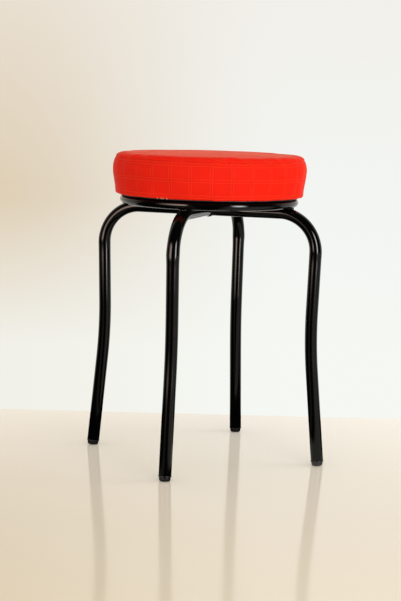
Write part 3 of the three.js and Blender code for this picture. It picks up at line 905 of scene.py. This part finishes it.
def crownHeight(radii):
    # a quarter ellipse over the shoulder, then a parabola to the middle
    inner = seamRadius - cushion["shoulderReach"]
    across = np.clip((radii - inner) / cushion["shoulderReach"], 0, 1)
    shoulder = cushion["shoulderRise"] * np.sqrt(1 - across ** 2)
    crown = cushion["crownRise"] * (1 - np.minimum(radii / inner, 1) ** 2)
    return seamHeight + shoulder + crown


foamPad = {
    "insideCloth": 1.3 * mm,
    "easing": 1.5 * mm,            # it draws in this much more under the seam
    "easingReach": 5 * mm,         # and does so within about this height
    "columns": 160,
}


def foamProfile():
    # the cushion's own profile, a little inside the cloth and eased below the seam
    depth = cushion["clothThickness"] + foamPad["insideCloth"]
    easing, foot = foamPad["easing"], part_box("foam_pad")[0].z
    heights = np.linspace(foot, seamHeight - depth / 2, 24)
    eased = easing * np.exp(-((seamHeight - heights) / foamPad["easingReach"]) ** 2)
    side = np.stack([sideRadius(heights - underside) - depth - eased, heights], -1)
    radii = (seamRadius - depth - easing) * np.sin(np.linspace(quarterTurn, 0, 40))
    top = np.stack([radii, crownHeight(radii * seamRadius / (seamRadius - depth)) - depth], -1)
    return np.concatenate([[[0, foot]], side, top])


foam = gridPiece("foamPad", lathe(foamProfile(), foamPad["columns"]), False, True)
dress(foam, seatFoam, "seat_foam", "foam_pad")

print("board and foam made")


# Cloth cover: one simulated mesh, parted afterwards into its top and side panels

cover = {
    "gridCells": 54,               # the top is a square grid laid on the disc
    "crownRings": 20,              # of the grid's 27 rings; the other 7 share the shoulder
    "seamSteps": np.array([1.2, 3.0]) * mm,     # first rows below the seam
    "sideRows": 14,
    "cornerRows": 4,
    "hemRows": 5,
    "quality": 6,
    "mass": 0.15,
    "stretchStiffness": 20,
    "bendStiffness": 0.3,
    "pressure": 4,
    "frames": 20,
    "mostMove": 0.35 * mm,         # cap on how far the simulation may take a point
    "seamShrink": 0.004,           # sewing draws the seam this much shorter than the cloth
    "unevenness": 0.12 * mm,       # lumps in the padding
    "seamDip": 0.7 * mm,           # how far the seam is drawn in
    "sag": 1.2 * mm,               # how far the lower edge hangs between two staples
    "sagReach": 2.5 * mm,          # and how much of the cloth hangs with it
    "sagInset": 1.5 * mm,          # it hangs lowest this far in from the foot of the side
    "sagWaves": ((0.5, 5, 0.7), (0.3, 11, 2)),  # how it varies round the seat
    "topStretch": 0.06,            # share that the top's metres gain where it meets the seam
    "staples": 24,
}


def squareOnDisc(cells):
    # A point's ring is the larger of its two distances from the middle of the square;
    # its angle runs evenly along each side of its ring.
    half = cells // 2
    first, second = np.meshgrid(np.arange(-half, half + 1), np.arange(-half, half + 1), indexing="ij")
    wide = np.abs(first) >= np.abs(second)
    lead = np.where(wide, first, second)
    lag = np.where(wide, second, first)
    slant = math.pi / 4 * lag / np.where(lead == 0, 1, lead)
    angles = np.where(wide, slant, quarterTurn - slant) + np.where(lead < 0, math.pi, 0)
    return np.abs(lead), angles


def lumps(points):
    # a sum of sine waves 70 to 160 mm long in random directions, about -1 to 1
    directions = randomNumbers.normal(size=(9, 3))
    directions /= np.linalg.norm(directions, axis=1, keepdims=True)
    waves = fullTurn / (randomNumbers.uniform(70, 160, 9) * mm)
    phases = randomNumbers.uniform(0, fullTurn, 9)
    return np.sin(points @ (directions * waves[:, None]).T + phases).sum(-1) / 3


def simulateCloth(points, faces, pinned, shrunk):
    # the points after the cloth has swelled under pressure, held where it is pinned
    mesh = bpy.data.meshes.new("clothRun")
    mesh.from_pydata(points.tolist(), [], faces)
    editable = bmesh.new()
    editable.from_mesh(mesh)
    bmesh.ops.recalc_face_normals(editable, faces=editable.faces)
    editable.to_mesh(mesh)
    editable.free()
    piece = addObject("clothRun", mesh)
    scene = bpy.context.scene
    piece.vertex_groups.new(name="pinned").add(pinned.tolist(), 1.0, "REPLACE")
    piece.vertex_groups.new(name="shrunk").add(shrunk.tolist(), 1.0, "REPLACE")
    cloth = piece.modifiers.new("cloth", "CLOTH")
    settings = cloth.settings
    settings.quality = cover["quality"]
    settings.mass = cover["mass"]
    settings.tension_stiffness = cover["stretchStiffness"]
    settings.compression_stiffness = cover["stretchStiffness"]
    settings.bending_stiffness = cover["bendStiffness"]
    settings.use_pressure = True
    settings.uniform_pressure_force = cover["pressure"]
    settings.effector_weights.gravity = 0
    settings.vertex_group_mass = "pinned"
    settings.vertex_group_shrink = "shrunk"
    settings.shrink_max = cover["seamShrink"]
    cloth.point_cache.frame_start = 1
    cloth.point_cache.frame_end = cover["frames"]
    for number in range(1, cover["frames"] + 1):
        scene.frame_set(number)
    finished = piece.evaluated_get(bpy.context.evaluated_depsgraph_get())
    moved = np.empty(points.size, np.float32)
    finished.data.vertices.foreach_get("co", moved)
    scene.frame_set(1)
    bpy.data.objects.remove(piece)
    return moved.reshape(-1, 3).astype(float)


rings, ringAngles = squareOnDisc(cover["gridCells"])
lastRing = cover["gridCells"] // 2
rimPoints = np.flatnonzero(rings.ravel() == lastRing)
rimPoints = rimPoints[np.argsort(ringAngles.ravel()[rimPoints] % fullTurn)]
columnAngles = ringAngles.ravel()[rimPoints] % fullTurn
columns = len(columnAngles)

# radius of each ring: even over the crown, then by the sine over the shoulder
innerRadius = seamRadius - cushion["shoulderReach"]
shoulderShare = np.linspace(0, 1, lastRing - cover["crownRings"] + 1)[1:]
shoulderRadii = innerRadius + cushion["shoulderReach"] * np.sin(shoulderShare * quarterTurn)
crownRadii = innerRadius * np.linspace(0, 1, cover["crownRings"] + 1)
ringRadii = np.concatenate([crownRadii, shoulderRadii])
topRadii = ringRadii[rings]
topPoints = polar(topRadii, ringAngles, crownHeight(topRadii))


def coverProfile():
    # from just below the seam down the side, round the lower corner and in under the
    # board, as (radius, height)
    cornerTop = underside + cushion["cornerRadius"]
    lower = np.linspace(seamHeight - cover["seamSteps"][-1], cornerTop, cover["sideRows"])
    heights = np.concatenate([seamHeight - cover["seamSteps"], lower[1:]])
    side = np.stack([sideRadius(heights - underside), heights], -1)
    centre = (cushion["bottomRadius"] - cushion["cornerRadius"], cornerTop)
    corner = arc(centre, cushion["cornerRadius"], 0, -quarterTurn, cover["cornerRows"] + 1)[1:]
    radii = np.linspace(corner[-1, 0], cushion["hemInnerRadius"], cover["hemRows"] + 1)[1:]
    hem = np.stack([radii, np.full(len(radii), underside)], -1)
    return np.concatenate([side, corner, hem])


profile = coverProfile()
sidePoints = polar(profile[:, :1], columnAngles, profile[:, 1:])
sideRows = len(profile)
sheet = np.concatenate([topPoints.reshape(-1, 3), sidePoints.reshape(-1, 3), [[0, 0, underside]]])
gridNumbers = np.arange(rings.size).reshape(rings.shape)
sideNumbers = rings.size + np.arange(sideRows * columns).reshape(sideRows, columns)
sideNumbers = np.vstack([rimPoints, sideNumbers])
sideNumbers = np.hstack([sideNumbers, sideNumbers[:, :1]])
inside = np.array([0, 0, underside + 20 * mm])  # a point in the cushion; its faces turn from it

quads = [cornersOf(grid).reshape(-1, 4) for grid in (gridNumbers, sideNumbers)]
quads = np.concatenate(quads).tolist()
lastRow = sideNumbers[-1].tolist()
fan = [[a, b, len(sheet) - 1] for a, b in zip(lastRow[1:], lastRow[:-1])]
outwards = sheet - inside
outwards /= np.linalg.norm(outwards, axis=1, keepdims=True)
free = sheet[:, 2] > underside + cushion["cornerRadius"]
begun = sheet + (free * lumps(sheet) * cover["unevenness"])[:, None] * outwards
pinned = np.flatnonzero(~free)
settled = simulateCloth(begun, quads + fan, pinned, rimPoints)
# each ring of points keeps the radius and height that were measured for it, so only
# the ring's mean swell comes off; what the cloth does unevenly stays, up to the cap
ringOf = np.concatenate([rings.ravel(), lastRing + 1 + np.arange(sideRows * columns) // columns,
                         [lastRing + 1 + sideRows]])
count = np.bincount(ringOf)
angles = np.arctan2(sheet[:, 1], sheet[:, 0])
moved = settled - sheet
outward = moved[:, 0] * np.cos(angles) + moved[:, 1] * np.sin(angles)
outward -= (np.bincount(ringOf, outward) / count)[ringOf]
upward = moved[:, 2] - (np.bincount(ringOf, moved[:, 2]) / count)[ringOf]
mostMoved = float(np.hypot(outward, upward).max() / mm)
print("cloth moved unevenly by", round(mostMoved, 2), "mm at most")
limit = cover["mostMove"]
outward = limit * np.tanh(outward / limit)
upward = limit * np.tanh(upward / limit)
settled = sheet + polar(outward, angles, upward)

# the seam is drawn in all round; the lower edge hangs a little between two staples
settled[rimPoints] -= polar(cover["seamDip"], columnAngles, 0)
settledSide = settled[rings.size:-1].reshape(sideRows, columns, 3)
settledSide = np.concatenate([settled[rimPoints][None], settledSide])
between = np.sin(columnAngles * cover["staples"] / 2) ** 2
uneven = 1 + wavesRound(columnAngles, cover["sagWaves"])
fromEdge = profile[:, 0] - cushion["bottomRadius"] + cover["sagInset"]
nearEdge = np.exp(-(fromEdge / cover["sagReach"]) ** 2)
nearEdge *= profile[:, 1] < underside + cushion["cornerRadius"]
nearEdge = np.concatenate([[0], nearEdge])
settledSide[..., 2] -= cover["sag"] / 2 * nearEdge[:, None] * between * uneven


def finishPanel(panel):
    # faces turned outwards, one subdivision, and the cloth's thickness put inside
    mesh = panel.data
    centres = np.empty(len(mesh.polygons) * 3, np.float32)
    normals = np.empty_like(centres)
    mesh.polygons.foreach_get("center", centres)
    mesh.polygons.foreach_get("normal", normals)
    if ((centres.reshape(-1, 3) - inside) * normals.reshape(-1, 3)).sum() < 0:
        mesh.flip_normals()
    mesh.shade_smooth()
    rounded = panel.modifiers.new("rounded", "SUBSURF")
    rounded.levels = rounded.render_levels = 1
    thick = panel.modifiers.new("thickness", "SOLIDIFY")
    thick.thickness = cushion["clothThickness"]
    thick.offset = -1
    thick.use_even_offset = True
    applyModifiers(panel)


# the cloth's own metres: flat over the top, and on the side its widest round and its length
# from the underside up; the top's are stretched over the shoulder, which falls away
stretch = 1 + cover["topStretch"] * (topRadii / seamRadius) ** 8
flatUv = topPoints[..., :2] * stretch[..., None]
topPanel = gridPiece("coverTopPanel", settled[:rings.size].reshape(*rings.shape, 3), uv=flatUv)
alongProfile = np.concatenate([[seamHeight - underside], profile[:, 1] - underside])
alongProfile[-cover["hemRows"]:] -= cushion["bottomRadius"] - profile[-cover["hemRows"]:, 0]
uvAngles = np.append(columnAngles, columnAngles[0] + fullTurn)
sideUv = np.stack(np.broadcast_arrays(widestRadius * uvAngles, alongProfile[:, None]), -1)
sidePanel = gridPiece("coverSidePanel", settledSide, closeColumns=True, uv=sideUv)
finishPanel(topPanel)
finishPanel(sidePanel)
dress(topPanel, topCloth, "red_cloth", "cover_top_panel")
dress(sidePanel, sideCloth, "red_cloth", "cover_side_panel")

print("cover made")


# Staples that hold the base panel and the hem to the board, and the hand stitches that
# close the cloth

staple = {
    "circle": 128.6 * mm,
    "crown": 10 * mm,
    "leg": 6 * mm,
    "width": 1.2 * mm,
    "wire": 0.6 * mm,
}
stitch = {
    "circle": 151.6 * mm,
    "above": 0.35 * mm,            # over the underside
    "slant": 30 * degree,
    "length": 2.6 * mm,
    "thickness": 1.0 * mm,
    "angles": np.array([-104.9, -102.2, -100.9, -98.4]) * degree,
}


def stapleSkin():
    # a flat wire bent to a U: a square section carried along three straight runs, with
    # its corners mitred
    half, leg, thin = staple["crown"] / 2, staple["leg"], staple["wire"]
    low = panelLow.z - thin
    path = np.array([[-half, low + leg], [-half, low], [half, low], [half, low + leg]])
    inner = np.array([[-half + thin, low + leg], [-half + thin, low + thin],
                      [half - thin, low + thin], [half - thin, low + leg]])
    wide = staple["width"] / 2
    rows = [np.column_stack([np.full(4, x), line[:, 0], line[:, 1]])
            for x, line in ((-wide, path), (wide, path), (wide, inner), (-wide, inner))]
    return np.stack(rows, 1) + (staple["circle"], 0, 0)


def joinPieces(name, parts):
    # several meshes as one piece
    editable = bmesh.new()
    for part in parts:
        editable.from_mesh(part.data)
        bpy.data.objects.remove(part)
    mesh = bpy.data.meshes.new(name)
    editable.to_mesh(mesh)
    editable.free()
    return addObject(name, mesh)


def capped(grid):
    # the first and last rows closed to their own middle
    ends = [np.broadcast_to(row.mean(0), row.shape)[None] for row in (grid[0], grid[-1])]
    return np.concatenate([ends[0], grid, ends[1]])


stapleAngles = (np.arange(cover["staples"]) + 0.5) * fullTurn / cover["staples"]
staples = joinPieces("hemStaples", [
    gridPiece(f"staple{index}", turnedAbout(capped(stapleSkin()), angle), False, True)
    for index, angle in enumerate(stapleAngles)])
dress(staples, zincPlate, "zinc_plate")


def stitchSkin():
    # a short fat thread laid over the lower edge: a long ball, slanted to lie along it
    around, up = ballAngles(16, 14)
    length, thick = stitch["length"] / 2, np.sin(up) * stitch["thickness"] / 2
    ball = np.stack([-np.cos(up) * length, thick * np.cos(around), thick * np.sin(around)], -1)
    return leanedOver(ball, stitch["slant"]) + (stitch["circle"], 0, underside + stitch["above"])


stitches = joinPieces("closingStitches", [
    gridPiece(f"stitch{index}", turnedAbout(stitchSkin(), angle), False, True)
    for index, angle in enumerate(stitch["angles"])])
dress(stitches, cottonThread, "red_cloth")

print("staples and stitches made")


# Stage, lamps and camera

view = {
    "place": (0.7495, -2.4402, 0.5967),
    "turn": 17.296 * degree,       # to the left of +Y
    "pitch": 7.55 * degree,        # downwards
    "roll": 1.469 * degree,
    "lens": 93.8,
}
level = Vector((math.cos(view["turn"]), math.sin(view["turn"]), 0))      # to the camera's right
forward = Vector((-math.sin(view["turn"]), math.cos(view["turn"]), 0))   # away from it
ahead = forward * math.cos(view["pitch"]) - Vector((0, 0, math.sin(view["pitch"])))
above = level.cross(ahead)
rightward = math.cos(view["roll"]) * level + math.sin(view["roll"]) * above
upward = -math.sin(view["roll"]) * level + math.cos(view["roll"]) * above

cameraData = bpy.data.cameras.new("photoView")
cameraData.lens = view["lens"]
camera = addObject("photoView", cameraData)
facing = Matrix((rightward, upward, -ahead)).transposed().to_4x4()
camera.matrix_world = Matrix.Translation(view["place"]) @ facing
bpy.context.scene.camera = camera

table = {"behind": 0.33, "front": 4.0, "halfWidth": 4.0}
corners = np.array([[[-table["halfWidth"], y, 0], [table["halfWidth"], y, 0]]
                    for y in (-table["front"], table["behind"])])
tableTop = gridPiece("tableTop", turnedAbout(corners, view["turn"]))

dotProduct = {"output": "Value", "operation": "DOT_PRODUCT"}


def riseAndFall(add, value, riseFrom, riseTo, fallFrom, fallTo):
    # 0, then smoothly up to 1, then smoothly back to 0
    rise = add("MapRange", [value, riseFrom, riseTo, 0.0, 1.0], **smooth)
    fall = add("MapRange", [value, fallFrom, fallTo, 1.0, 0.0], **smooth)
    return add("Math", [rise, fall], operation="MULTIPLY")


def makePaleLacquer():
    # A pale lacquered table top. Painted shade makes its colour darker towards the front, and darker
    # and creamier at the front left; seen directly, it has a faint painted glow towards the back. Gloss
    # on the object doesn't see its colour but a painted reflection: dark, but for a lit stretch to the
    # right of the camera and a dimmer one to the left.
    material, add, shader, place = startMaterial("paleLacquer", {
        "Base Color": "#f8f0e2", "Roughness": 0.1, "IOR": 1.36, "Emission Color": "#fff8ec"})
    toRight = add("VectorMath", [place, level], **dotProduct)
    toBack = add("VectorMath", [place, forward], **dotProduct)
    toFront = add("VectorMath", [place, -forward], **dotProduct)
    depth = add("MapRange", [toBack, -0.9, 0.3, 0.0, 1.0])
    nearness = add("Math", [1.0, depth], operation="SUBTRACT")
    leftness = add("MapRange", [toRight, 0.1, -0.35, 0.0, 0.6])
    frontLeftShade = add("Math", [leftness, nearness], operation="MULTIPLY")
    # painted shade: darker towards the front, darker and creamier at the front left
    colour = add("Mix", {0: depth, 6: "#efe4d0", 7: "#fcf5ea"}, **mixedColour)
    colour = add("Mix", {0: frontLeftShade, 6: colour, 7: "#dccaa9"}, **mixedColour)
    # painted light: seen directly, the top glows a little towards the back
    paintedBackGlow = add("MapRange", [depth, 0.4, 1.0, 0.0, 0.1])
    isSeen = add("LightPath", output="Is Camera Ray")
    setInputs(shader, {
        "Base Color": colour,
        "Emission Strength": add("Math", [isSeen, paintedBackGlow], operation="MULTIPLY"),
    })
    # painted reflection: gloss sees this emission, bright in two stretches, in place of the top
    bearing = add("Math", [toRight, toFront], operation="ARCTAN2")
    lit = riseAndFall(add, bearing, 10 * degree, 30 * degree, 75 * degree, 100 * degree)
    dim = riseAndFall(add, bearing, -55 * degree, -40 * degree, -25 * degree, -15 * degree)
    dim = add("Math", [dim, 0.35], operation="MULTIPLY")
    lit = add("Math", [lit, dim], operation="ADD")
    strength = add("MapRange", [lit, 0.0, 1.0, 0.012, 0.95])
    paintedFloorReflection = add("Emission", {"Color": "#e8e4d8", "Strength": strength})
    isMirrored = add("LightPath", output="Is Glossy Ray")
    mixed = add("MixShader", [isMirrored, shader.outputs[0], paintedFloorReflection])
    setInputs(material.node_tree.nodes["Material Output"], {"Surface": mixed})
    return material


tableTop.data.materials.append(makePaleLacquer())

lamps = {
    # azimuth to the right of the camera, distance, height of the middle, size, watts, colour,
    # and how far its light fades in from its left and right edges, as shares of its width;
    # the gleams are seen only by gloss, and the others never are
    "windowGleam": (37, 1.6, 0.62, (0.7, 1.16), 57, "#ffffff", 0.45, 0.45),
    "warmGleam": (-48, 1.6, 0.64, (1.4, 1.2), 62, "#ffe0d0", 0.8, 0.15),
    "window": (24, 2.4, 0.62, (1.25, 1.2), 30, "#fff6ea", 0.2, 0.2),
    "sideWindow": (95, 2.2, 1.0, (1.2, 1.2), 19, "#ffffff", 0.2, 0.2),
    "softbox": (20, 0.9, 2.3, (2.0, 2.0), 6, "#fffaf2", 0.2, 0.2),
}
lowerFade, upperFade = 0.22, 0.3   # how far every lamp fades in from its lower and upper edges
softboxAim = 0.3                   # height that the softbox points at; the others are upright


def fadeEdges(lampData, leftFade, rightFade):
    # the lamp's light rises from nothing at its edges, as through a hung diffuser
    lampData.use_nodes = True
    add = functools.partial(addNode, lampData.node_tree)
    spot = add("NewGeometry", output="Parametric")
    sideways = riseAndFall(add, add("SeparateXYZ", [spot], "X"), 0.0, leftFade, 1 - rightFade, 1.0)
    upright = riseAndFall(add, add("SeparateXYZ", [spot], "Y"), 0.0, lowerFade, 1 - upperFade, 1.0)
    strength = add("Math", [sideways, upright], operation="MULTIPLY")
    setInputs(lampData.node_tree.nodes["Emission"], {"Strength": strength})


for name, (azimuth, distance, height, size, power, colour, leftFade, rightFade) in lamps.items():
    lampData = bpy.data.lights.new(name, "AREA")
    lampData.shape = "RECTANGLE"
    lampData.size, lampData.size_y = size
    lampData.energy = power
    lampData.color = toLinear(colour)[:3]
    fadeEdges(lampData, leftFade, rightFade)
    lamp = addObject(name, lampData)
    angle = math.atan2(view["place"][1], view["place"][0]) + azimuth * degree
    lamp.location = (distance * math.cos(angle), distance * math.sin(angle), height)
    aim = Vector((0, 0, softboxAim if name == "softbox" else height))
    lamp.rotation_euler = (aim - lamp.location).to_track_quat("-Z", "Y").to_euler()
    lamp.visible_glossy = name.endswith("Gleam")
    lamp.visible_diffuse = not lamp.visible_glossy


def makeStudioWorld():
    # seen directly it is the pale wall, with painted shade that makes it darker and creamier at the
    # left and painted light that makes it lighter low down; gloss sees that wall behind the stool and a
    # dark room before it; everything else is lit evenly
    world = bpy.data.worlds.new("studio")
    world.use_nodes = True
    tree = world.node_tree
    tree.nodes.remove(tree.nodes["Background"])
    add = functools.partial(addNode, tree)
    direction = add("TexCoord", output="Generated")
    height = add("SeparateXYZ", [direction], "Z")
    toRight = add("VectorMath", [direction, level], **dotProduct)
    toBack = add("VectorMath", [direction, forward], **dotProduct)
    # painted shade: cream at the left, white at the right; painted light: lighter low down
    whiteness = add("MapRange", [toRight, -0.14, 0.06, 0.0, 1.0], **smooth)
    upper = add("MapRange", [height, -0.06, 0.06, 0.0, 0.55])
    lower = add("MapRange", [height, -0.07, -0.16, 0.0, 0.8])
    wall = add("Mix", {0: whiteness, 6: "#dfcfb6", 7: "#f3f5f2"}, **mixedColour)
    wall = add("Mix", {0: upper, 6: wall, 7: "#f1ece4"}, **mixedColour)
    wall = add("Mix", {0: lower, 6: wall, 7: "#f6f8f3"}, **mixedColour)
    behind = add("MapRange", [toBack, 0.0, 0.45, 0.03, 1.0], **smooth)
    seen = add("Background", {"Color": wall, "Strength": 1.0})
    mirrored = add("Background", {"Color": wall, "Strength": behind})
    even = add("Background", {"Color": "#fcf8f0", "Strength": 0.73})
    mixed = add("MixShader", [add("LightPath", output="Is Glossy Ray"), even, mirrored])
    mixed = add("MixShader", [add("LightPath", output="Is Camera Ray"), mixed, seen])
    setInputs(tree.nodes["World Output"], {"Surface": mixed})
    return world


bpy.context.scene.world = makeStudioWorld()
bpy.context.scene.view_settings.view_transform = "Standard"

print("stage made")
